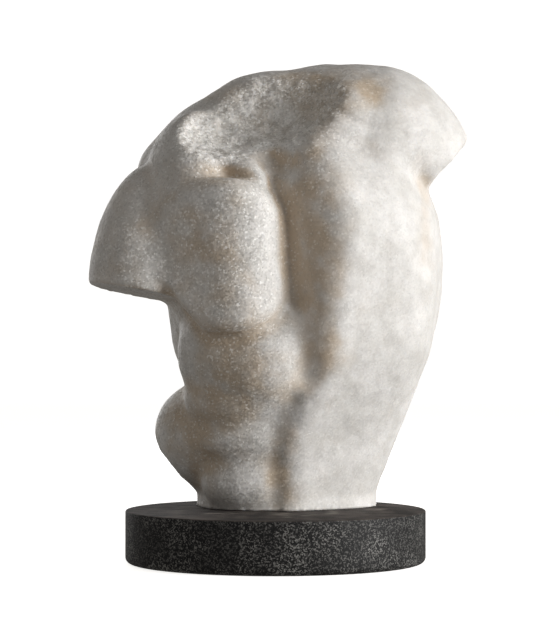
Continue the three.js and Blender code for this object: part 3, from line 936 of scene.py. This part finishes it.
def plinth_outline(sizes, radius, height):
    """The half section of the plinth from the underside's middle to the top's, as radii and heights.

    Each rounded edge is a quarter circle, whose points are its middle plus the radius times the cosine and
    the sine of the angle. Flat rings lead up to the two edges, and the upright side lies between them.
    """
    foot, rim = sizes.foot_radius, sizes.rim_radius
    low, high = np.linspace(-np.pi / 2, 0, FOOT_STEPS), np.linspace(0, np.pi / 2, RIM_STEPS)
    across = [
        np.linspace(FLAT_START, radius - foot - FLAT_END, FLAT_RINGS),
        radius - foot + foot * np.cos(low),
        radius - rim + rim * np.cos(high),
        np.linspace(radius - rim - FLAT_END, FLAT_START, FLAT_RINGS),
    ]
    up = [
        np.zeros(FLAT_RINGS),
        foot + foot * np.sin(low),
        height - rim + rim * np.sin(high),
        np.full(FLAT_RINGS, height),
    ]
    return np.concatenate(across), np.concatenate(up)


class TORSO_OT_plinth(bpy.types.Operator):
    """Turns the plinth from its half section"""

    bl_idname = "torso.plinth"
    bl_label = "Build the plinth"

    def execute(self, context):
        sizes = context.scene.torso_plinth
        across, up = plinth_outline(sizes, PLINTH_BOX[1].x, PLINTH_BOX[1].z)
        points, faces = turned(across, up, PLINTH_SIDES)
        first, last = np.arange(PLINTH_SIDES), np.arange(len(points) - PLINTH_SIDES, len(points))
        obj = mesh_object("stone_plinth", points, faces, (first[::-1], last))
        obj.data.materials.append(honed_dark_stone(sizes))
        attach(obj, "root")
        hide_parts("plinth")
        return {"FINISHED"}


# The backdrop paper: a flat round floor that curves up on all sides through a quarter circle into a wall
PAPER_FLAT, PAPER_BEND, PAPER_WALL = 3.6, 1.0, 4.5
PAPER_MIDDLE, PAPER_INNER = 0.001, 1.5
PAPER_STEPS, PAPER_SIDES = 13, 96
UNDER_PLINTH = 0.0002  # keeps the paper clear of the plinth's underside

# Where the lights stand and how wide they are. All of them face the middle of the object
LIT_PLACE = (0, 0, 0.2)
KEY_PLACE, KEY_SIZE = (2.2, -0.75, 0.55), 1.3
FILL_PLACE, FILL_SIZE = (-1.6, -1.9, 0.5), 1.4
BACK_PLACE, BACK_SIZE = (-0.9, 2.2, 0.7), 1.3
ROOM_COLOUR = "fffbf6"

# The camera looks level along Y, as the photo does: its place to the side and in height, and its lens in mm
CAMERA_SIDE, CAMERA_HEIGHT = 0.0036, 0.1936
SENSOR_WIDTH, FOCAL_LENGTH = 36, 145.125


def backdrop_outline():
    """The paper's half section from its middle to the top of its wall, as radii and heights."""
    turn = np.linspace(0, np.pi / 2, PAPER_STEPS)
    bend = PAPER_FLAT + PAPER_BEND * np.sin(turn)
    across = np.concatenate([[PAPER_MIDDLE, PAPER_INNER], bend, [PAPER_FLAT + PAPER_BEND]])
    up = np.concatenate([[0, 0], PAPER_BEND - PAPER_BEND * np.cos(turn), [PAPER_WALL]])
    return across, up - UNDER_PLINTH


def area_light(name, place, size, power):
    """A square soft light that faces the object."""
    lamp = bpy.data.lights.new(name, "AREA")
    lamp.size = size
    lamp.energy = power
    obj = bpy.data.objects.new(name, lamp)
    obj.location = place
    obj.rotation_euler = (Vector(LIT_PLACE) - Vector(place)).to_track_quat("-Z", "Y").to_euler()
    bpy.context.scene.collection.objects.link(obj)


class TORSO_OT_stage(bpy.types.Operator):
    """Lays the backdrop paper, and places the lights and the camera"""

    bl_idname = "torso.stage"
    bl_label = "Build the stage"

    def execute(self, context):
        look = context.scene.torso_stage
        points, faces = turned(*backdrop_outline(), PAPER_SIDES)
        paper = mesh_object("backdrop_paper", points, faces[:, ::-1])
        paper.data.materials.append(pale_paper(look))
        # its own light doesn't reach the object, and it doesn't stop the even room light
        paper.visible_diffuse = paper.visible_glossy = paper.visible_shadow = False

        area_light("key", KEY_PLACE, KEY_SIZE, look.key_power)
        area_light("fill", FILL_PLACE, FILL_SIZE, look.fill_power)
        area_light("back", BACK_PLACE, BACK_SIZE, look.back_power)
        world = bpy.data.worlds.new("even room light")
        context.scene.world = world
        world.use_nodes = True
        background = world.node_tree.nodes["Background"]
        background.inputs["Color"].default_value = linear(ROOM_COLOUR)
        background.inputs["Strength"].default_value = look.ambient
        context.scene.view_settings.view_transform = "Standard"

        lens = bpy.data.cameras.new("camera")
        lens.sensor_width = SENSOR_WIDTH
        lens.lens = FOCAL_LENGTH
        camera = bpy.data.objects.new("camera", lens)
        camera.location = (CAMERA_SIDE, -look.camera_distance, CAMERA_HEIGHT)
        camera.rotation_euler = (math.pi / 2, 0, 0)
        context.scene.collection.objects.link(camera)
        context.scene.camera = camera
        return {"FINISHED"}


class TORSO_PT_panel(bpy.types.Panel):
    """The fragment's settings and builders"""

    bl_idname = "TORSO_PT_panel"
    bl_label = "Torso fragment"
    bl_space_type = "VIEW_3D"
    bl_region_type = "UI"
    bl_category = "Torso fragment"

    def draw(self, context):
        scene = context.scene
        parts = (
            (scene.torso_marble, TORSO_OT_marble),
            (scene.torso_plinth, TORSO_OT_plinth),
            (scene.torso_stage, TORSO_OT_stage),
        )
        for settings, operator in parts:
            box = self.layout.box()
            for name in type(settings).__annotations__:
                box.prop(settings, name)
            box.operator(operator.bl_idname)


CLASSES = (
    TorsoSettings, PlinthSettings, StageSettings,
    TORSO_OT_marble, TORSO_OT_plinth, TORSO_OT_stage, TORSO_PT_panel,
)


def register():
    """Makes the settings, operators and panel known to Blender."""
    for cls in CLASSES:
        bpy.utils.register_class(cls)
    bpy.types.Scene.torso_marble = bpy.props.PointerProperty(type=TorsoSettings)
    bpy.types.Scene.torso_plinth = bpy.props.PointerProperty(type=PlinthSettings)
    bpy.types.Scene.torso_stage = bpy.props.PointerProperty(type=StageSettings)


def unregister():
    """Takes them away again."""
    del bpy.types.Scene.torso_stage
    del bpy.types.Scene.torso_plinth
    del bpy.types.Scene.torso_marble
    for cls in reversed(CLASSES):
        bpy.utils.unregister_class(cls)


def main():
    """Builds the marble, the plinth and the stage."""
    register()
    bpy.ops.torso.marble()
    bpy.ops.torso.plinth()
    bpy.ops.torso.stage()


if __name__ == "__main__":
    main()
